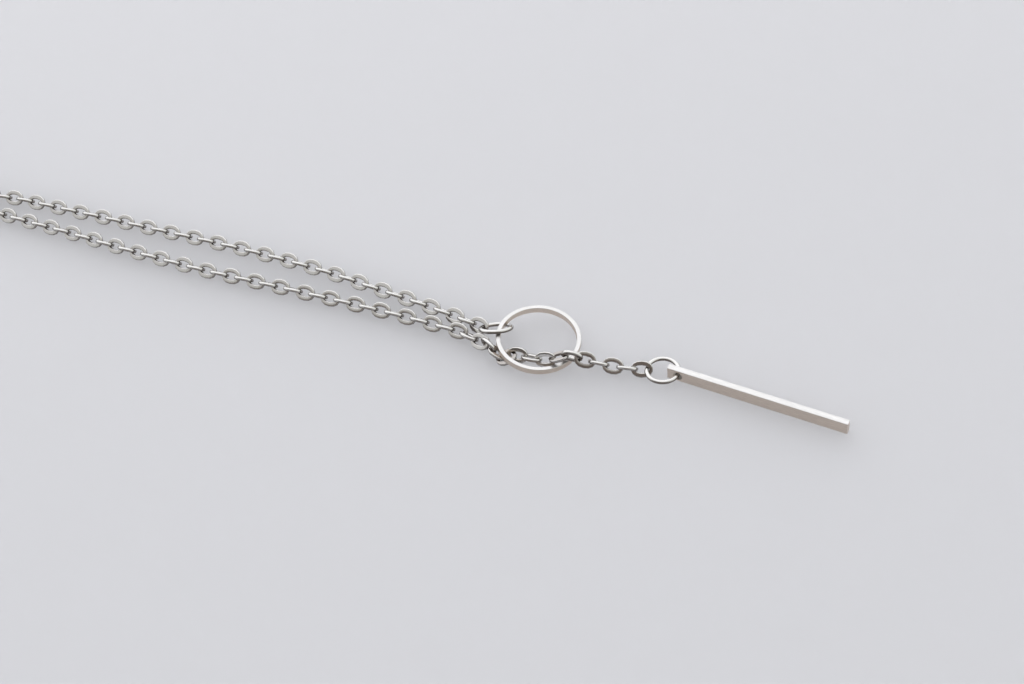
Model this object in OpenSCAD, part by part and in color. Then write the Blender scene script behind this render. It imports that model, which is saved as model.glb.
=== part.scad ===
// Threader necklace, lying closed: a fine chain goes round the neck from a small
// jump ring, passes back through the flat ring and ends in a slim bar.
// Millimetres, +Z up. The floor is z = 0, and +X runs along the bar, away from the ring.

/* [Ring] */
// Outer diameter of the flat ring that the chain is threaded through
ring_d = 12; // [11.8:0.05:12.1]
// Radial width of the ring's band
ring_band = 0.6; // [0.5:0.05:0.65]
// Height of the ring's band
ring_h = 0.95; // [0.8:0.05:1]
// Radius of the ring's softened edges
ring_edge = 0.08; // [0.04:0.01:0.12]

/* [Bar] */
// Length of the bar
bar_l = 25.8; // [20:0.1:40]
// Thickness of the bar, seen from above
bar_w = 0.95; // [0.8:0.05:1]
// Height of the bar as it lies
bar_h = 1.9; // [1.8:0.05:2.2]
// Diameter of the hole drilled across the bar
bar_hole_d = 1.3; // [1.25:0.01:1.4]
// Distance from the bar's end to the middle of its hole
bar_hole_in = 1.57; // [1.55:0.01:1.62]
// Radius of the bar's softened edges
bar_edge = 0.1; // [0.05:0.01:0.15]

/* [Jump rings] */
// Radius of the ring's jump ring, to the middle of its wire
ring_jump_r = 2.2; // [2.15:0.01:2.3]
// Wire of the ring's jump ring
ring_jump_wire = 0.5; // [0.4:0.01:0.55]
// Radius of the bar's jump ring, to the middle of its wire
bar_jump_r = 2.2; // [2.15:0.01:2.25]
// Wire of the bar's jump ring
bar_jump_wire = 0.52; // [0.4:0.01:0.54]

/* [Chain] */
// Most that two links may be apart, middle to middle
link_pitch = 2.06; // [2:0.01:2.08]
// Length of a link, to the middle of its wire
link_l = 2.64; // [2.6:0.01:2.68]
// Width of a link, to the middle of its wire
link_w = 1.84; // [1.8:0.01:1.88]
// Width of a link's wire, seen on the link's face
link_wire = 0.4; // [0.36:0.01:0.42]
// Thickness that the link's wire is pressed to
link_flat = 0.36; // [0.3:0.01:0.38]
// How far each link is turned about the chain, one to the left and the next to the right
link_turn = 45; // [40:1:50]
// Height of the chain's middle over the floor
chain_z = 0.93; // [0.93:0.01:1]

/* [Loop round the neck] */
// Radius of the round end of the loop
loop_r = 36; // [30:1:45]
// Radius of the bends that open the two strands into the round end
flare_r = 40; // [30:1:50]

/* [Hidden] */
$fn = 24;

// The ring's middle is at x = 0, y = 0 in all the places below. The whole piece is then
// moved so that the origin is under the middle of its outline.
centre = [-76.87, -7.1, 0];

// Middle and tilt of the ring: its left side is propped up on its jump ring
ring_at = [-0.08, 0.04, 1.19];
ring_tilt = [0.5, 6.5, 0];
// Middle and tilt of the ring's jump ring
ring_jump_at = [-6.5, -0.6, 1.5];
ring_jump_tilt = [-29, -13, 5];
// Middle of the bar's jump ring, which lies flat
bar_jump_at = [18.25, 1.6, 1];
// Lower corner of the bar beside the chain, with the bar along +X
bar_at = [18.98, 1.45, 0];

// Plan points of the strand that leaves the ring's jump ring: x, y
OUTWARD = [
    [-9.3, -0.6], [-18, 0], [-26.3, 0.2], [-34.5, 0.4], [-42.7, 0.15], [-51, -0.4],
    [-59, -1.15], [-67, -2], [-75.3, -2.8], [-82.5, -3.6], [-90.3, -4.4], [-94, -5.1]
];
// Plan points of the strand that comes back to the ring: x, y
BACK = [
    [-94, -8.6], [-90, -8.4], [-85.8, -8.2], [-78, -7.75], [-69.8, -7.5], [-61, -7.05],
    [-52.9, -6.5], [-44.6, -5.6], [-36.6, -4.75], [-28.3, -3.9], [-20, -3.2], [-11.55, -2.75]
];
// Where the two strands run side by side into the flare: x, middle y, half the space between
flare_x = -98;
loop_y = -7.1;
strand_gap = 1.6;

// Links that go under the ring, through it, over it and on to the bar, one in a row
// x, y, z, heading, rise, turn about the chain
THREADED = [
    [-9.60, -3.05, 0.90, -11,   0,   41],
    [-7.60, -3.40, 0.95,  -6,   5,  -42],
    [-6.00, -3.80, 1.20, -23,   0,   81],
    [-4.35, -4.24, 0.79, -10, -16,   22],
    [-2.91, -4.40, 0.69,  43,  17,   -9],
    [-1.45, -3.72, 1.10,  10,   2,  -63],
    [ 0.58, -3.42, 1.07,   5,   2,   28],
    [ 2.55, -3.05, 1.20,  18,   6,  -67],
    [ 4.35, -2.35, 1.80,  17,  21,   11],
    [ 6.15, -1.80, 2.15,  18, -16, -103],
    [ 7.85, -1.25, 1.55,  20, -15,  -46],
    [ 9.60, -0.60, 1.00,   9,  -2,   46],
    [11.60, -0.25, 0.93,   8,   0,  -44],
    [13.60,  0.12, 0.98,  14,   0,   45],
    [15.55,  0.70, 1.00,  19,   0,  -52]
];

// A smooth curve through four neighbours of a table of points, t from 0 to 1 between b and c
function between(a, b, c, d, t) =
    b + (c - a) * t / 2
    + (2 * a - 5 * b + 4 * c - d) * pow(t, 2) / 2
    + (3 * b - a - 3 * c + d) * pow(t, 3) / 2;

function smooth(p, parts) = [
    for (i = [0:len(p) - 2])
        for (k = [0:parts - 1])
            between(p[max(i - 1, 0)], p[i], p[i + 1], p[min(i + 2, len(p) - 1)], k / parts)
];

// An arc about middle c from angle a to angle b
function arc(c, r, a, b, parts) = [
    for (k = [0:parts]) c + r * [cos(a + (b - a) * k / parts), sin(a + (b - a) * k / parts)]
];

// The flare bends away from the other strand and meets the round end where both head the same way
flare_rise = strand_gap + flare_r;
meet = asin(flare_rise / (loop_r + flare_r));
loop_x = flare_x - (loop_r + flare_r) * cos(meet);

route = concat(
    smooth(OUTWARD, 6),
    [OUTWARD[len(OUTWARD) - 1]],
    arc([flare_x, loop_y + flare_rise], flare_r, -90, meet - 180, 24),
    arc([loop_x, loop_y], loop_r, meet + 3, 357 - meet, 80),
    arc([flare_x, loop_y - flare_rise], flare_r, 180 - meet, 90, 24),
    smooth(BACK, 6),
    [BACK[len(BACK) - 1]]
);

// How far along the route each of its points is
along = [
    for (i = 0, s = 0; i < len(route); s = s + norm(route[min(i + 1, len(route) - 1)] - route[i]), i = i + 1) s
];
route_l = along[len(along) - 1];
place_x = [for (i = [0:len(route) - 1]) [along[i], route[i].x]];
place_y = [for (i = [0:len(route) - 1]) [along[i], route[i].y]];
function on_route(s) = [lookup(s, place_x), lookup(s, place_y)];

// Even steps, one short of an even number of links, so that the last one faces up
steps = 2 * floor(route_l / link_pitch / 2) + 1;
step = route_l / steps;

// A rectangle with round corners
module soft_rectangle(l, w, r) {
    square([l - 2 * r, w], center = true);
    square([l, w - 2 * r], center = true);
    for (x = [-1, 1])
        for (y = [-1, 1])
            translate([x * (l / 2 - r), y * (w / 2 - r)])
                circle(r);
}

// Round wire closed into a ring about the Z axis
module wire_ring(r, wire) {
    rotate_extrude($fn = 64)
        translate([r, 0])
            circle(d = wire);
}

// The outline of an oval with straight sides
module oval(l, w) {
    square([l - w, w], center = true);
    for (x = [-1, 1])
        translate([x * (l - w) / 2, 0])
            circle(d = w);
}

// One oval link, pressed flat on both faces
module link() {
    linear_extrude(link_flat, center = true)
        difference() {
            oval(link_l + link_wire, link_w + link_wire);
            oval(link_l - link_wire, link_w - link_wire);
        }
}

module threading_ring() {
    color("whitesmoke")
        translate(ring_at - centre)
            rotate(ring_tilt)
                rotate_extrude($fn = 96)
                    translate([(ring_d - ring_band) / 2, 0])
                        soft_rectangle(ring_band, ring_h, ring_edge);
}

module ring_jump_ring() {
    color("silver")
        translate(ring_jump_at - centre)
            rotate(ring_jump_tilt)
                wire_ring(ring_jump_r, ring_jump_wire);
}

module bar_jump_ring() {
    color("silver")
        translate(bar_jump_at - centre)
            wire_ring(bar_jump_r, bar_jump_wire);
}

// The bar's section and its outline from above, both with soft corners, met at the ends
module bar() {
    color("whitesmoke")
        translate(bar_at - centre)
            difference() {
                intersection() {
                    translate([0, bar_w / 2, bar_h / 2])
                        rotate([90, 0, 90])
                            linear_extrude(bar_l)
                                soft_rectangle(bar_w, bar_h, bar_edge);
                    translate([bar_l / 2, bar_w / 2, 0])
                        linear_extrude(bar_h)
                            soft_rectangle(bar_l, bar_w, bar_edge);
                }
                translate([bar_hole_in, bar_w / 2, bar_h / 2])
                    rotate([90, 0, 0])
                        cylinder(h = 3 * bar_w, d = bar_hole_d, center = true);
            }
}

module chain() {
    color("silver")
        translate(-centre) {
            // the loop round the neck
            for (i = [0:steps]) {
                here = on_route(i * step);
                ahead = on_route((i + 0.5) * step) - on_route((i - 0.5) * step);
                turn = i % 2 == 0 ? link_turn : -link_turn;
                translate([here.x, here.y, chain_z])
                    rotate([-turn, 0, atan2(ahead.y, ahead.x)])
                        link();
            }
            // the stretch that is threaded through the ring
            for (row = THREADED)
                translate([row[0], row[1], row[2]])
                    rotate([-row[5], -row[4], row[3]])
                        link();
        }
}

threading_ring();
ring_jump_ring();
chain();
bar_jump_ring();
bar();
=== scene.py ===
# %% [markdown]
# # A threader necklace, lying closed
# The necklace is one long cable chain. A flat ring hangs from one end on a small jump ring, and a slim
# bar from the other end on a second one. The chain goes round the neck, passes under and through the
# ring, and lies over the ring's edge on its way to the bar.
#
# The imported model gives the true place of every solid, and this script dresses it. Each link, ring and
# jump ring is one profile carried round a closed path, so that numpy can work out all of its points at
# once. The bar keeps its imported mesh, because a drilled block is already right, and gets a finish.

import bpy
import numpy as np
from mathutils import Matrix, Vector


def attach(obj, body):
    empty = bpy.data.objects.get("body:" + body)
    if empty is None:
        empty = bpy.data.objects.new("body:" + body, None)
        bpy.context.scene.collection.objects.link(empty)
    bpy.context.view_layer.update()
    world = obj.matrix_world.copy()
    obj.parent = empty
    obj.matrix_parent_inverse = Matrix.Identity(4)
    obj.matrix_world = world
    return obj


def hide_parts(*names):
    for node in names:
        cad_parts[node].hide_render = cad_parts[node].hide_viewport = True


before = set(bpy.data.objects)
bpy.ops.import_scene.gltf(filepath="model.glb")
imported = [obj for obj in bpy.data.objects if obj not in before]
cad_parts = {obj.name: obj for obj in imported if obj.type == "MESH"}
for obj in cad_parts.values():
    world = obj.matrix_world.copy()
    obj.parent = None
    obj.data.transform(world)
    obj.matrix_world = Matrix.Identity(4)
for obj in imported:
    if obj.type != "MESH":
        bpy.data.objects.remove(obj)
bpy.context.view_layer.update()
MM = 0.001  # Blender counts in metres, and a jeweller in millimetres
print("packed nodes:", sorted(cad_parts))

# %% [markdown]
# ## Camera
# A camera is a place, a direction and a roll. The necklace is seen from 46 degrees above the surface,
# with the camera turned a little about its own axis, and through a longish lens that keeps the bar's
# two ends almost the same size. The direction is worked out from angles, which are easier to read and
# to change than a table of a matrix.

# %% Camera
CAMERA_AT = Vector((163.11, -134.63, 173.13)) * MM
CAMERA_HEADING = 32.63       # degrees from +Y towards -X
CAMERA_DROP = 46.0           # degrees below the horizon
CAMERA_ROLL = -7.0           # degrees about its own axis
LENS, SENSOR = 59.77, 36.0   # mm
NEAREST = 10.0               # mm, nothing is nearer to the camera

heading, drop, roll = np.radians((CAMERA_HEADING, CAMERA_DROP, CAMERA_ROLL))
forward = Vector((-np.sin(heading) * np.cos(drop), np.cos(heading) * np.cos(drop), -np.sin(drop)))
level = forward.cross(Vector((0, 0, 1))).normalized()
above = level.cross(forward)
right = level * np.cos(roll) + above * np.sin(roll)
up = right.cross(forward)

camera_data = bpy.data.cameras.new("camera")
camera_data.lens = LENS
camera_data.sensor_width = SENSOR
camera_data.clip_start = NEAREST * MM
camera = bpy.data.objects.new("camera", camera_data)
camera_turn = Matrix((right, up, -forward)).transposed().to_4x4()
camera.matrix_world = Matrix.Translation(CAMERA_AT) @ camera_turn
bpy.context.scene.collection.objects.link(camera)
bpy.context.scene.camera = camera
print("camera looks along", [round(v, 4) for v in forward])

# %% [markdown]
# ## Finding the links
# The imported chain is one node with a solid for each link. To put a finer link in each one's place we
# need its middle and its three directions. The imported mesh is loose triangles, so points at the same
# place are merged first, and then every point takes the lowest number that its triangles hold, again
# and again, until each loose piece has one number.

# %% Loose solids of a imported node
MERGE_DIGITS = 4   # points that are the same to this many digits of a millimetre are one


def loose_solids(node):
    """The triangles of a node as an array (n, 3 corners, 3) and the number of the loose solid of each.

    Labels spread by taking, for every triangle, the least label of its corners, and each label is then
    replaced by the label of its label, so that long pieces are joined in a few rounds."""
    mesh = node.data
    mesh.calc_loop_triangles()
    corners = np.empty(len(mesh.loop_triangles) * 3, np.int64)
    mesh.loop_triangles.foreach_get("vertices", corners)
    points = np.empty(len(mesh.vertices) * 3)
    mesh.vertices.foreach_get("co", points)
    points = points.reshape(-1, 3)
    _, merged = np.unique(np.round(points / MM, MERGE_DIGITS), axis=0, return_inverse=True)
    triangles = merged.reshape(-1)[corners].reshape(-1, 3)
    label = np.arange(triangles.max() + 1)
    while True:
        least = label[triangles].min(axis=1)
        spread = label.copy()
        np.minimum.at(spread, triangles, least[:, None])
        spread = spread[spread]
        if (spread == label).all():
            break
        label = spread
    _, solid = np.unique(label[triangles[:, 0]], return_inverse=True)
    return points[corners].reshape(-1, 3, 3), solid.reshape(-1)


link_triangles, link_of = loose_solids(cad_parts["chain"])
link_count = int(link_of.max()) + 1
print("links in the packed chain:", link_count)

# %% [markdown]
# A link's directions come from how its surface is spread about its middle. The spread along its length
# is the greatest, across it the middle one, and through its flat side the least, and the eigenvectors
# of the spread point along the three.

# %% Middle and directions of each link
def solid_axes(triangles, solid):
    """Middles (n, 3) and directions (n, 3, 3) of loose solids: rows long, wide and flat.

    The spread of a triangle of area A about the origin is A / 12 times the sum of the products of its
    corners with themselves and of their sum with itself. It is summed over a solid and moved to the
    solid's middle, so that it doesn't depend on how finely each face was meshed."""
    count = solid.max() + 1
    area = np.linalg.norm(
        np.cross(triangles[:, 1] - triangles[:, 0], triangles[:, 2] - triangles[:, 0]), axis=1) / 2
    total = triangles.sum(axis=1)
    spread = np.einsum("tci,tcj->tij", triangles, triangles) + np.einsum("ti,tj->tij", total, total)
    solid_area = np.bincount(solid, area, count)
    middle = np.stack([np.bincount(solid, area * total[:, k] / 3, count) for k in range(3)], 1)
    middle /= solid_area[:, None]
    about = np.stack([
        np.bincount(solid, area * spread[:, i, j] / 12, count) for i in range(3) for j in range(3)
    ], 1).reshape(-1, 3, 3)
    about = about / solid_area[:, None, None] - np.einsum("ni,nj->nij", middle, middle)
    _, columns = np.linalg.eigh(about)
    long, wide = columns[:, :, 2], columns[:, :, 1]
    return middle, np.stack([long, wide, np.cross(long, wide)], 1)


link_middle, link_axes = solid_axes(link_triangles, link_of)
order = np.argsort(link_middle[:, 0])
print("first and last link middles in mm:", (link_middle[order[[0, -1]]] / MM).round(2).tolist())

# %% [markdown]
# ## A profile carried round a closed path
# Links, rings and jump rings are all the same kind of shape, so one function makes them. It also gives
# each point the normal of the true rounded wire. With those normals a few faces look smooth, and the
# flat sides that a press leaves on a link still look flat.

# %% Sweep and mesh helpers
THROUGH = np.array([0.0, 0.0, 1.0])   # a path lies in its own XY plane, and this goes through the piece


def carry_round(path, outward, section, section_normal):
    """Points and normals (path, section, 3) of a section carried round a closed path.

    A point is the path's point, plus the section's first number along the outward direction there,
    plus its second number along THROUGH, and its normal is made from the section's normal the same
    way. The section is one (points, 2) for the whole path, or (path, points, 2) where it changes."""
    points = path[:, None] + section[..., :1] * outward[:, None] + section[..., 1:] * THROUGH
    normals = section_normal[..., :1] * outward[:, None] + section_normal[..., 1:] * THROUGH
    return points, normals


def wrapped_quads(around, across):
    """Quads of a grid that closes on itself both ways: a point and its next ones, modulo the size."""
    i, j = np.meshgrid(np.arange(around), np.arange(across), indexing="ij")
    i, j, i_next, j_next = i.ravel(), j.ravel(), (i.ravel() + 1) % around, (j.ravel() + 1) % across
    return np.stack([i * across + j, i_next * across + j,
                     i_next * across + j_next, i * across + j_next], 1)


def make_piece(name, points, normals, quads, material):
    """A named mesh object at the origin from points in mm, with the given normals and one material."""
    mesh = bpy.data.meshes.new(name)
    # Each quad makes a pyramid with the origin. Where the faces point inwards, the pyramids' signed
    # volumes add up to less than nothing, and all the quads are turned over.
    corner = points[quads]
    volume = np.einsum("qi,qi->", corner[:, 0],
                       np.cross(corner[:, 1], corner[:, 2]) + np.cross(corner[:, 2], corner[:, 3]))
    if volume < 0:
        quads = quads[:, ::-1]
    mesh.from_pydata((points * MM).tolist(), [], quads.tolist())
    mesh.polygons.foreach_set("use_smooth", np.ones(len(quads), bool))
    mesh.normals_split_custom_set_from_vertices(normals.tolist())
    mesh.materials.append(material)
    piece = bpy.data.objects.new(name, mesh)
    bpy.context.scene.collection.objects.link(piece)
    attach(piece, "root")
    print(name, "has", len(quads), "faces")
    return piece

# %% [markdown]
# ## Colours and nodes
# Jewellers pick colours as sRGB hex values, and Blender mixes light in linear ones, so one function
# turns the first into the second. One more small function adds a node with its settings and links.

# %% Colour and node helpers
def linear(hex_colour, alpha=1.0):
    """A hex sRGB colour as linear RGBA: each channel c is c / 12.92 below 0.04045, or else
    ((c + 0.055) / 1.055) to the power 2.4."""
    c = np.array([int(hex_colour[k:k + 2], 16) / 255 for k in (1, 3, 5)])
    c = np.where(c <= 0.04045, c / 12.92, ((c + 0.055) / 1.055) ** 2.4)
    return (*c.tolist(), alpha)


def add_node(tree, kind, settings=None, inputs=None, links=None):
    """Adds a node: settings are its attributes, inputs its sockets' values, links what feeds them."""
    node = tree.nodes.new(kind)
    for key, value in (settings or {}).items():
        setattr(node, key, value)
    for key, value in (inputs or {}).items():
        node.inputs[key].default_value = value
    for key, source in (links or {}).items():
        tree.links.new(source, node.inputs[key])
    return node


def new_material(name):
    """An empty node material and its tree, with a Principled shader that is linked to the output."""
    material = bpy.data.materials.new(name)
    material.use_nodes = True
    tree = material.node_tree
    tree.nodes.clear()
    shader = add_node(tree, "ShaderNodeBsdfPrincipled")
    add_node(tree, "ShaderNodeOutputMaterial", links={"Surface": shader.outputs["BSDF"]})
    return material, tree, shader

# %% [markdown]
# ## Satin silver
# The ring and the bar are silver that was rubbed with a fine abrasive. That leaves lines too fine to
# see one by one, about 0.02 mm apart, which blur what the metal reflects. Here the grain is drawn at
# 0.15 mm, as coarse as it needs to be to show at all. Slow patches of more and less rubbing change the
# roughness, as they do on hand-finished silver.
#
# The walls are given a warm, slightly darker tint than the tops, a painted reflection of the shaded
# surface in front of them.
# The material finds them by the upward part of the surface's normal. A drilled hole is painted darker
# too, as painted shade inside it, which is found by the distance from the drill's axis.

# %% Satin silver
SILVER = "#D9D8D7"           # clean silver
WALL_PAINTED_REFLECTION = "#E0D3C7"          # a warm, darker tint on the walls: painted reflection of the shaded surface in front
HOLE_PAINTED_SHADE = "#B0A8A0"        # painted shade inside the drilled hole
SATIN_GRAIN = 0.15           # mm, real lines are about 0.02 mm apart and wouldn't show
SATIN_PATCH = 1.6            # mm, how far apart more and less rubbed places are
SATIN_ROUGH = 0.28, 0.38     # where it is rubbed less and more
SATIN_DARKEST = 0.86         # what the deepest lines reflect of what the others do
GRAIN_DEEP = 0.01            # mm
GRAIN_BUMP = 0.4             # strength of the bump
NOISE_LOW, NOISE_HIGH = 0.3, 0.7    # nearly all the values of a noise texture lie between these
WALL_FROM, WALL_FULL = 0.85, 0.25   # upward part of the normal where the walls' painted reflection begins and is full

BAR_HOLE = 97.42, 0.95, 0.65        # mm, x and z of the drill's axis, and its radius
HOLE_OUT, HOLE_IN = 0.03, 0.01      # mm, the painted shade ends outside the radius and is full inside it
EVEN_GRAIN, LONG_GRAIN = (1.0, 1.0, 1.0), (0.12, 1.0, 1.0)   # the second is drawn out along X


def satin_silver(name, grain_scale, hole=None):
    """Satin silver. The three factors scale the place that the grain reads, so that one below 1 draws
    the grain out along that axis. A hole drilled along Y is given by its axis's x and z and its radius
    in mm, and its inside is painted a darker grey, as painted shade."""
    material, tree, shader = new_material(name)
    coordinates = add_node(tree, "ShaderNodeTexCoord")
    place = coordinates.outputs["Object"]
    grain_place = add_node(tree, "ShaderNodeMapping", inputs={"Scale": grain_scale},
                           links={"Vector": place})
    grain = add_node(tree, "ShaderNodeTexNoise",
                     inputs={"Scale": 1 / (SATIN_GRAIN * MM), "Detail": 2.0, "Roughness": 0.6},
                     links={"Vector": grain_place.outputs["Vector"]})
    patch = add_node(tree, "ShaderNodeTexNoise",
                     inputs={"Scale": 1 / (SATIN_PATCH * MM), "Detail": 3.0}, links={"Vector": place})
    rough = add_node(tree, "ShaderNodeMapRange",
                     inputs={"From Min": NOISE_LOW, "From Max": NOISE_HIGH,
                             "To Min": SATIN_ROUGH[0], "To Max": SATIN_ROUGH[1]},
                     links={"Value": patch.outputs["Fac"]})
    bump = add_node(tree, "ShaderNodeBump",
                    inputs={"Strength": GRAIN_BUMP, "Distance": GRAIN_DEEP * MM},
                    links={"Height": grain.outputs["Fac"]})
    facing = add_node(tree, "ShaderNodeSeparateXYZ", links={0: coordinates.outputs["Normal"]})
    # The walls get a warm tint, a painted reflection, and the tops keep the clean silver.
    wall = add_node(tree, "ShaderNodeMapRange", {"interpolation_type": "SMOOTHSTEP"},
                    {"From Min": WALL_FROM, "From Max": WALL_FULL}, {"Value": facing.outputs["Z"]})
    tint = add_node(tree, "ShaderNodeMix", {"data_type": "RGBA"},
                    {"A": linear(SILVER), "B": linear(WALL_PAINTED_REFLECTION)}, {"Factor": wall.outputs["Result"]})
    streaks = add_node(tree, "ShaderNodeMapRange",
                       inputs={"From Min": NOISE_LOW, "From Max": NOISE_HIGH, "To Min": SATIN_DARKEST},
                       links={"Value": grain.outputs["Fac"]})
    shade = add_node(tree, "ShaderNodeVectorMath", {"operation": "SCALE"},
                     links={0: tint.outputs["Result"], "Scale": streaks.outputs["Result"]})
    colour = shade.outputs["Vector"]
    # painted shade inside the drilled hole, found by the distance from its axis
    if hole:
        x, z, radius = hole
        from_axis = add_node(tree, "ShaderNodeMapping", {"vector_type": "POINT"},
                             {"Location": (-x * MM, 0, -z * MM), "Scale": (1, 0, 1)}, {"Vector": place})
        distance = add_node(tree, "ShaderNodeVectorMath", {"operation": "LENGTH"},
                            links={0: from_axis.outputs["Vector"]})
        inside = add_node(tree, "ShaderNodeMapRange",
                          inputs={"From Min": (radius + HOLE_OUT) * MM,
                                  "From Max": (radius - HOLE_IN) * MM},
                          links={"Value": distance.outputs["Value"]})
        colour = add_node(tree, "ShaderNodeMix", {"data_type": "RGBA"}, {"B": linear(HOLE_PAINTED_SHADE)},
                          {"Factor": inside.outputs["Result"], "A": colour}).outputs["Result"]
    tree.links.new(colour, shader.inputs["Base Color"])
    tree.links.new(rough.outputs["Result"], shader.inputs["Roughness"])
    tree.links.new(bump.outputs["Normal"], shader.inputs["Normal"])
    shader.inputs["Metallic"].default_value = 1.0
    return material


ring_satin = satin_silver("satin_silver_ring", EVEN_GRAIN)
bar_satin = satin_silver("satin_silver_bar", LONG_GRAIN, BAR_HOLE)
print("satin grain in mm:", SATIN_GRAIN)

# %% [markdown]
# ## Polished silver
# Jump rings and links are drawn wire that was tumbled with steel shot. The wire is bright, and it
# mirrors the room, so that it is light on top and dark where it faces the dim side. Tumbling leaves
# soft dents, about 0.35 mm apart, that make the mirrored light waver. A dark brown colour is painted
# where two links meet, partly a film that tumbling doesn't reach and partly painted shade, and on the
# underside of the wire as painted shade alone. Two things tell the material where it goes: the recess
# attribute of each point, and the upward part of the normal. The greater of the two counts.

# %% Polished silver
FILM_AND_PAINTED_SHADE = "#63554C"             # dark brown: film where links meet and painted shade there, on the undersides and on five links
WIRE_SILVER = "#D5D4D2"      # drawn wire, a little darker than the ring and the bar
FILM_AND_SHADE_MOST = 0.9              # how much of the dark colour, film and painted shade, a point takes where the recess is deepest
UNDERSIDE_SHADE = 0.85            # the same for the painted shade on the underside
UNDERSIDE_SHADE_FADE = 0.6              # over how much of the normal's upward part the underside's painted shade comes in
DENT_APART, DENT_DEEP = 0.35, 0.01   # mm
DENT_BUMP = 0.3              # strength of the bump
DENT_ROUGH = 0.08            # how much rougher one place gets than another


def polished_silver(name, roughness, under_from):
    """Tumbled silver. The painted shade on the underside begins where the upward part of the normal is
    under_from, and is full where it is lower by the fade set above."""
    material, tree, shader = new_material(name)
    coordinates = add_node(tree, "ShaderNodeTexCoord")
    recess = add_node(tree, "ShaderNodeAttribute", {"attribute_name": "recess"})
    dents = add_node(tree, "ShaderNodeTexNoise", inputs={"Scale": 1 / (DENT_APART * MM), "Detail": 2.0},
                     links={"Vector": coordinates.outputs["Object"]})
    # the recess attribute: film and painted shade where links meet, and painted dark reflection on five
    # links
    film_and_shade = add_node(tree, "ShaderNodeMath", {"operation": "MULTIPLY"}, {1: FILM_AND_SHADE_MOST},
                    {0: recess.outputs["Fac"]})
    facing = add_node(tree, "ShaderNodeSeparateXYZ", links={0: coordinates.outputs["Normal"]})
    # painted shade on the wire's underside, by the upward part of its normal
    underside_shade = add_node(tree, "ShaderNodeMapRange", {"interpolation_type": "SMOOTHSTEP"},
                     {"From Min": under_from, "From Max": under_from - UNDERSIDE_SHADE_FADE, "To Max": UNDERSIDE_SHADE},
                     {"Value": facing.outputs["Z"]})
    most = add_node(tree, "ShaderNodeMath", {"operation": "MAXIMUM"},
                    links={0: film_and_shade.outputs["Value"], 1: underside_shade.outputs["Result"]})
    tint = add_node(tree, "ShaderNodeMix", {"data_type": "RGBA"},
                    {"A": linear(WIRE_SILVER), "B": linear(FILM_AND_PAINTED_SHADE)}, {"Factor": most.outputs["Value"]})
    rough = add_node(tree, "ShaderNodeMapRange",
                     inputs={"To Min": roughness, "To Max": roughness + DENT_ROUGH},
                     links={"Value": dents.outputs["Fac"]})
    bump = add_node(tree, "ShaderNodeBump", inputs={"Strength": DENT_BUMP, "Distance": DENT_DEEP * MM},
                    links={"Height": dents.outputs["Fac"]})
    tree.links.new(tint.outputs["Result"], shader.inputs["Base Color"])
    tree.links.new(rough.outputs["Result"], shader.inputs["Roughness"])
    tree.links.new(bump.outputs["Normal"], shader.inputs["Normal"])
    shader.inputs["Metallic"].default_value = 1.0
    return material


# under_from is where the painted shade on the wire's underside begins
chain_silver = polished_silver("tumbled_silver_chain", roughness=0.09, under_from=0.45)
jump_ring_silver = polished_silver("tumbled_silver_jump_rings", roughness=0.06, under_from=0.75)
print("tumbling dents in mm:", DENT_APART, "apart and", DENT_DEEP, "deep")

# %% [markdown]
# ## The chain
# Each link is a round wire, about half a millimetre thick, bent to an oval, soldered, and pressed so
# that it has two flat sides with soft edges. The press spreads the wire to 0.65 mm along a link's two
# long sides and leaves it 0.5 mm wide at the ends, where the next links are in its way. Hundreds of
# links need a mesh with few faces, so a link has 14 steps round the oval and 8 across the wire. The
# round sides and the slightly domed flat ones come from normals that lean away from each side's middle.

# %% One link
LINK_LONG, LINK_WIDE = 3.08, 2.36      # mm, outside
WIRE_END, WIRE_SIDE = 0.50, 0.65       # mm, the pressed wire's width at the ends and the long sides
WIRE_THICK = 0.50                      # mm, through the flat sides
WIRE_SOFT = 0.11                       # mm, how far the soft edges reach in
SIDE_LEAN, FACE_LEAN = 26, 3           # degrees, how far the normals of round sides and flat faces lean
OVAL_SQUARE = 2.2                      # 2 is an ellipse, and more has fuller corners
LINK_STEPS = 14


def oval_path(long, wide, steps):
    """Points and outward directions of a full oval: x and y are half the length and width times the
    cosine and sine of the turn, with their size raised to 2 / OVAL_SQUARE. The outward direction of
    such a curve has the same signs, with the sizes raised to 2 - 2 / OVAL_SQUARE over the halves."""
    turn = (np.arange(steps) + 0.5) * 2 * np.pi / steps
    c, s = np.cos(turn), np.sin(turn)
    power = 2 / OVAL_SQUARE
    path = np.stack([long / 2 * np.sign(c) * abs(c) ** power,
                     wide / 2 * np.sign(s) * abs(s) ** power, np.zeros(steps)], 1)
    outward = np.stack([np.sign(c) * abs(c) ** (2 - power) / long,
                        np.sign(s) * abs(s) ** (2 - power) / wide, np.zeros(steps)], 1)
    return path, outward / np.linalg.norm(outward, axis=1)[:, None]


def pressed_section(wide, thick, soft):
    """A rectangle with cut corners for each width, as (outward, up) points, and their normals. The
    corners are half the width and thickness from the middle, less the cut. A normal is the cosine and
    sine of its side's angle, leaning away from the side's middle, so that the side looks domed."""
    a, b = wide[:, None] / 2, np.full_like(wide, thick / 2)[:, None]
    points = np.stack([
        np.hstack([a, a, a - soft, soft - a, -a, -a, soft - a, a - soft]),
        np.hstack([soft - b, b - soft, b, b, b - soft, soft - b, -b, -b])], 2)
    lean = np.radians(np.array([-SIDE_LEAN, SIDE_LEAN, 90 - FACE_LEAN, 90 + FACE_LEAN]))
    lean = np.concatenate([lean, lean + np.pi])
    return points, np.stack([np.cos(lean), np.sin(lean)], 1)


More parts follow.
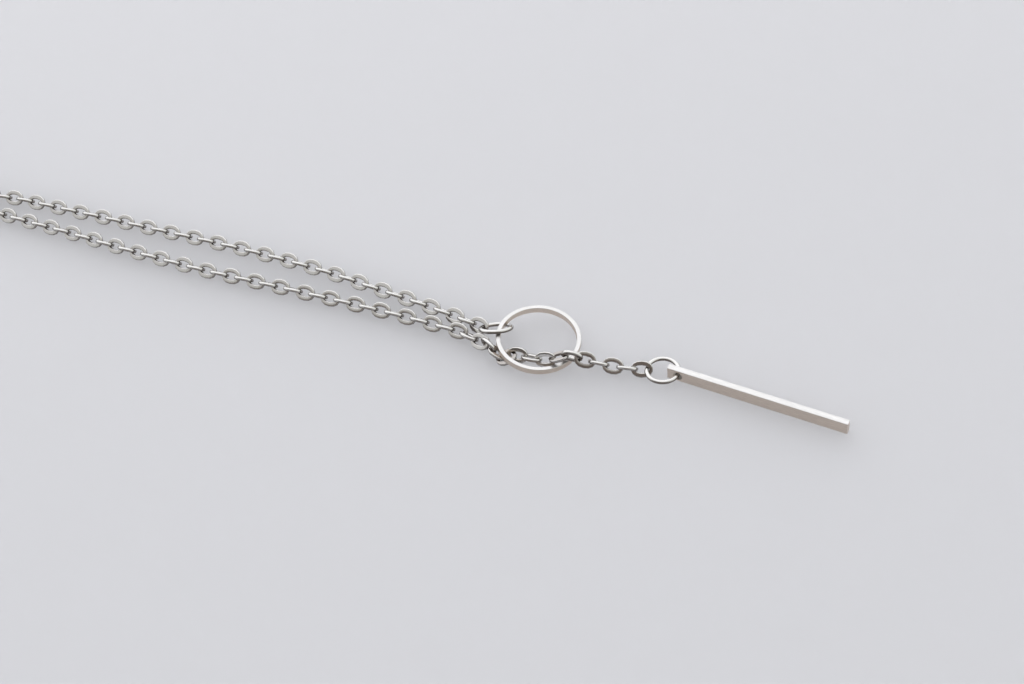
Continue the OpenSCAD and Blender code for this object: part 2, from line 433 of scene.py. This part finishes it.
link_path, link_outward = oval_path(LINK_LONG - WIRE_END, LINK_WIDE - WIRE_SIDE, LINK_STEPS)
wire_wide = WIRE_END + (WIRE_SIDE - WIRE_END) * link_outward[:, 1] ** 2
wire_section, wire_normal = pressed_section(wire_wide, WIRE_THICK, WIRE_SOFT)
link_points, link_normals = carry_round(link_path, link_outward, wire_section, wire_normal)
link_points, link_normals = link_points.reshape(-1, 3), link_normals.reshape(-1, 3)
link_quads = wrapped_quads(len(link_path), len(wire_normal))
print("one link:", len(link_points), "points,", len(link_quads), "faces")

# %% [markdown]
# All the links are placed at once: a point of the link, times the three directions of a solid, plus the
# solid's middle. The recess attribute, which the material reads, is 1 at the two ends of a link on the
# side of the wire that faces the hole, where the next link meets it. Its dark colour there is partly film
# and partly painted shade. It is OUTER_END at the outermost part of the ends.
#
# Five links at the ring and after it are darker than the others, because of what they mirror. The room
# made below gives only part of that, so a painted dark reflection in the film's colour gives the rest. It
# covers those links except for the outer edge of the wire, and each of them is named by the place of its
# middle.

# %% The whole chain
PAINTED_REFLECTION_LINKS = (((72.52, 2.86), 0.5), ((73.96, 2.70), 0.65), ((81.22, 4.75), 0.6),
                ((84.72, 5.85), 0.45), ((88.47, 6.85), 0.3))   # x and y in mm, share of the painted dark reflection
OUTER_END = 0.6   # recess at the outermost part of a link's ends

chain_points = np.einsum("pk,nkj->npj", link_points, link_axes) + link_middle[:, None] / MM
chain_normals = np.einsum("pk,nkj->npj", link_normals, link_axes)
chain_quads = link_quads[None] + (np.arange(link_count) * len(link_points))[:, None, None]
chain = make_piece("chain_links", chain_points.reshape(-1, 3), chain_normals.reshape(-1, 3),
                   chain_quads.reshape(-1, 4), chain_silver)

# The powers keep the dark colour of film and painted shade close to a link's ends and to the wire's outer
# edge.
across = wire_section[:, :, 0] / (wire_wide[:, None] / 2)   # -1 at the hole, 1 outside
inner, outer = np.clip(-across, 0, 1), np.clip(across, 0, 1) ** 4
at_end = abs(link_outward[:, :1]) ** 3
recess = np.tile((inner * at_end + outer * OUTER_END * at_end ** 2).ravel(), (link_count, 1))
# Five links get a painted dark reflection over all but the wire's outer edge.
for place, share in PAINTED_REFLECTION_LINKS:
    nearest = np.linalg.norm(link_middle[:, :2] / MM - place, axis=1).argmin()
    recess[nearest] = np.maximum(recess[nearest], share * (1 - outer.ravel()))

chain.data.attributes.new("recess", "FLOAT", "POINT").data.foreach_set("value", recess.ravel())
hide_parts("chain")
# the filmed ones are the links with the painted dark reflection
print("mean recess of a plain link and of the filmed ones:", np.median(recess.mean(axis=1)).round(3),
      np.sort(recess.mean(axis=1))[-len(PAINTED_REFLECTION_LINKS):].round(2).tolist())

# %% [markdown]
# ## The flat ring
# The ring is a slice of tube, 12 mm across, with a band 0.6 mm wide and 0.95 mm high, whose four edges
# were rubbed soft. It leans on its own jump ring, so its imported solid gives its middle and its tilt.

# %% The flat ring
RING_WIDE, RING_BAND, RING_HIGH, RING_SOFT = 12.0, 0.6, 0.95, 0.08   # mm
RING_STEPS, CORNER_STEPS = 256, 5


def circle_path(radius, steps):
    """Points of a circle and their outward directions: the cosine and sine of an even turn."""
    turn = np.arange(steps) * 2 * np.pi / steps
    outward = np.stack([np.cos(turn), np.sin(turn), np.zeros(steps)], 1)
    return outward * radius, outward


def soft_section(wide, high, soft, steps):
    """A rectangle with round corners as (outward, up) points with their normals: each corner is a
    quarter circle about a point that lies inside by its radius."""
    turn = np.linspace(0, np.pi / 2, steps)
    turn = (turn[None] + np.arange(4)[:, None] * np.pi / 2).ravel()
    normals = np.stack([np.cos(turn), np.sin(turn)], 1)
    corner = np.repeat([(1, 1), (-1, 1), (-1, -1), (1, -1)], steps, axis=0)
    return corner * (wide / 2 - soft, high / 2 - soft) + normals * soft, normals


def place_at(points, normals, middle, axes):
    """Turns points and normals from the piece's own directions to the frame's, and moves the points."""
    return points.reshape(-1, 3) @ axes + middle / MM, normals.reshape(-1, 3) @ axes


def node_axes(name):
    """Middle and directions (long, wide, through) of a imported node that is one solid."""
    triangles, solid = loose_solids(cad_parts[name])
    middle, axes = solid_axes(triangles, solid)
    return middle[0], axes[0]


band_section, band_normal = soft_section(RING_BAND, RING_HIGH, RING_SOFT, CORNER_STEPS)
ring_path, ring_outward = circle_path((RING_WIDE - RING_BAND) / 2, RING_STEPS)
ring_points, ring_normals = carry_round(ring_path, ring_outward, band_section, band_normal)
ring_middle, ring_axes = node_axes("threading_ring")
ring_points, ring_normals = place_at(ring_points, ring_normals, ring_middle, ring_axes)
ring = make_piece("threading_ring_band", ring_points, ring_normals,
                  wrapped_quads(len(ring_path), len(band_section)), ring_satin)
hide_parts("threading_ring")
print("ring's middle in mm:", (ring_middle / MM).round(3).tolist(),
      "axis:", ring_axes[2].round(3).tolist())

# %% [markdown]
# ## The two jump rings
# A jump ring is sawn from a coil of round wire, opened, threaded and closed again. The two sawn ends
# meet in a fine line, where the wire's edges are a little rounded. The line is a narrow dip in the
# wire's radius, and the steps round the ring are closer together there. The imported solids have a
# thinner wire than the real 0.62 mm, so that they stay clear of their neighbours.

# %% The two jump rings
JUMP_RADIUS, JUMP_WIRE = 2.2, 0.62   # mm, the radius to the middle of the wire
SEAM_DEEP, SEAM_WIDE = 0.16, 0.035   # share of the wire's radius, and mm
JUMP_STEPS, WIRE_STEPS = 120, 16


def sawn_ring(name, seam_turn):
    """A round wire about a circle, thinner at the seam: its radius is that of the wire times one less
    a bell curve of the way from the seam. The turn is a quarter of an even one plus three quarters of
    its cube, which draws the steps together at the seam. seam_turn says in degrees where it is."""
    middle, axes = node_axes(name)
    even = np.linspace(-1, 1, JUMP_STEPS, endpoint=False)
    turn = np.pi * (0.25 * even + 0.75 * even ** 3)
    outward = np.stack([np.cos(turn), np.sin(turn), np.zeros(len(turn))], 1)
    around = np.arange(WIRE_STEPS) * 2 * np.pi / WIRE_STEPS
    section = np.stack([np.cos(around), np.sin(around)], 1)
    points, normals = carry_round(outward * JUMP_RADIUS, outward, section * JUMP_WIRE / 2, section)
    dip = SEAM_DEEP * np.exp(-(turn * JUMP_RADIUS / SEAM_WIDE) ** 2)
    points = points - normals * (dip * JUMP_WIRE / 2)[:, None, None]
    spin = np.radians(seam_turn)
    turned = np.array([[np.cos(spin), np.sin(spin), 0], [-np.sin(spin), np.cos(spin), 0], [0, 0, 1]])
    points, normals = points @ turned, normals @ turned
    points, normals = place_at(points, normals, middle, axes)
    piece = make_piece(name + "_wire", points, normals, wrapped_quads(len(turn), len(section)),
                       jump_ring_silver)
    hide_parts(name)


sawn_ring("ring_jump_ring", seam_turn=120)
sawn_ring("bar_jump_ring", seam_turn=75)

# %% [markdown]
# ## The bar
# The bar is sawn from a drawn strip, drilled, and its edges are broken with a file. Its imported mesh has
# all that, so it only takes its finish, with the satin's lines along its length.

# %% The bar
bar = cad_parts["bar"]
bar.data.materials.clear()
bar.data.materials.append(bar_satin)

# %% [markdown]
# ## The surface
# The necklace lies on a plain pale sheet of opal acrylic. Light spreads inside such a milky material,
# about 20 mm here, and a little of it comes back from below, which a faint emission stands for. So a
# thin wire on it casts a broad, weak shadow with no dark line where it touches. It isn't part of the
# necklace.

# %% The surface
SURFACE_HALF = 1.2           # m
OPAL = "#A3A4A9"             # the sheet under even light, a cool pale grey
OPAL_SPREAD = 21.0           # mm, how far light spreads in it
OPAL_GLOW = 0.15             # what comes back from below
OPAL_GLOW_COLOUR = "#FFFCFB"

surface_mesh = bpy.data.meshes.new("surface")
surface_corners = np.array([(-1, -1, 0), (1, -1, 0), (1, 1, 0), (-1, 1, 0)]) * SURFACE_HALF
surface_mesh.from_pydata(surface_corners.tolist(), [], [(0, 1, 2, 3)])
opal, _, opal_shader = new_material("opal_acrylic")
opal_shader.subsurface_method = "BURLEY"
for socket, value in {
        "Base Color": linear(OPAL), "Subsurface Weight": 1.0, "Subsurface Radius": (1.0, 1.0, 1.0),
        "Subsurface Scale": OPAL_SPREAD * MM, "Emission Color": linear(OPAL_GLOW_COLOUR),
        "Emission Strength": OPAL_GLOW, "Roughness": 0.55, "Specular IOR Level": 0.25}.items():
    opal_shader.inputs[socket].default_value = value
surface_mesh.materials.append(opal)
surface = bpy.data.objects.new("surface", surface_mesh)
bpy.context.scene.collection.objects.link(surface)
print("surface:", 2 * SURFACE_HALF, "m square")

# %% [markdown]
# ## The room
# Silver shows only what is around it, so the room matters more than any lamp. The world is that room,
# made of four ramps over directions: white all round and brightest towards a wide window behind the
# necklace and to the left, and a dim, warm front side that reaches from the surface to high up. How
# much of the dim side counts depends on how far a direction looks to the front, and it ends near the
# zenith. The flat sides of the links near the bar face that side and are dark, those of the two
# strands see half of it and are grey, and the tops of the ring and the bar see none of it.

# %% The room
WINDOW = Vector((-0.595, 0.44, 0.669)).normalized()   # from the necklace towards the window
FRONT = Vector((0.17, -0.985, 0.0)).normalized()      # level, towards the dim side
UP = Vector((0.0, 0.0, 1.0))

world = bpy.data.worlds.new("room")
world.use_nodes = True
bpy.context.scene.world = world
room = world.node_tree
room.nodes.clear()
direction = add_node(room, "ShaderNodeTexCoord").outputs["Generated"]


def light_by_direction(towards, stops):
    """A ramp over how far a direction faces the given one, from -1 behind it to 1 at it. The cosine of
    the angle between them is halved and moved by a half, because a ramp runs from 0 to 1."""
    facing = add_node(room, "ShaderNodeVectorMath", {"operation": "DOT_PRODUCT"}, {1: towards},
                      {0: direction})
    share = add_node(room, "ShaderNodeMath", {"operation": "MULTIPLY_ADD"}, {1: 0.5, 2: 0.5},
                     {0: facing.outputs["Value"]})
    ramp = add_node(room, "ShaderNodeValToRGB", links={"Fac": share.outputs["Value"]})
    elements = ramp.color_ramp.elements
    for cosine, colour in stops:
        elements.new((cosine + 1) / 2).color = (*colour, 1)
    elements.remove(elements[-1])
    elements.remove(elements[0])
    return ramp.outputs["Color"]


def grey(*levels):
    """Stops of a ramp that mixes: pairs of a cosine and a share, as a grey colour."""
    return [(cosine, (share, share, share)) for cosine, share in levels]


# A stop is the cosine of the angle to the direction, and the light or the share there.
white_side = light_by_direction(WINDOW, (
    (-0.9, (0.98, 0.97, 0.94)), (0.2, (1.12, 1.15, 1.11)), (0.7, (1.31, 1.32, 1.35)),
    (0.9, (1.52, 1.52, 1.54))))
in_front = light_by_direction(FRONT, grey(
    (0.22, 0.0), (0.40, 0.40), (0.665, 0.49), (0.695, 0.9), (0.75, 0.945), (0.88, 0.915)))
low_down = light_by_direction(UP, grey((0.80, 1.0), (0.92, 0.0)))
dim = add_node(room, "ShaderNodeMath", {"operation": "MULTIPLY"}, links={0: in_front, 1: low_down})
dim_colour = light_by_direction(UP, (
    (0.0, (0.042, 0.027, 0.020)), (0.35, (0.075, 0.050, 0.040)), (0.65, (0.15, 0.105, 0.085)),
    (0.8, (0.27, 0.20, 0.17))))
both = add_node(room, "ShaderNodeMix", {"data_type": "RGBA"},
                links={"Factor": dim.outputs["Value"], "A": white_side, "B": dim_colour})
room_light = add_node(room, "ShaderNodeBackground", inputs={"Strength": 1.0},
                      links={"Color": both.outputs["Result"]})
add_node(room, "ShaderNodeOutputWorld", links={"Surface": room_light.outputs["Background"]})

print("the dim side looks to", [round(v, 3) for v in FRONT])

# %% [markdown]
# ## The window's light
# The room lights the surface from all sides and casts next to no shadows, so a wide area lamp, low
# behind the necklace, gives the soft shadows towards the viewer and makes the surface lighter at the
# back. The silver mirrors the room and not the lamp.

# %% The window's light
LOW_WINDOW = Vector((-0.49, 0.78, 0.36)).normalized()   # towards the middle of the lamp
WINDOW_FAR = 0.85            # m
WINDOW_SIZE = 1.05, 0.65     # m
WINDOW_POWER = 8.2           # W
WINDOW_TINT = 1.0, 0.99, 0.98

window_data = bpy.data.lights.new("window", "AREA")
window_data.shape = "RECTANGLE"
window_data.size, window_data.size_y = WINDOW_SIZE
window_data.energy = WINDOW_POWER
window_data.color = WINDOW_TINT
window = bpy.data.objects.new("window", window_data)
window.matrix_world = (Matrix.Translation(LOW_WINDOW * WINDOW_FAR)
                       @ (-LOW_WINDOW).to_track_quat("-Z", "Y").to_matrix().to_4x4())
window.visible_camera = False
window.visible_glossy = False
bpy.context.scene.collection.objects.link(window)

# The Standard view shows a white as it is, as a plain photograph does.
bpy.context.scene.view_settings.view_transform = "Standard"
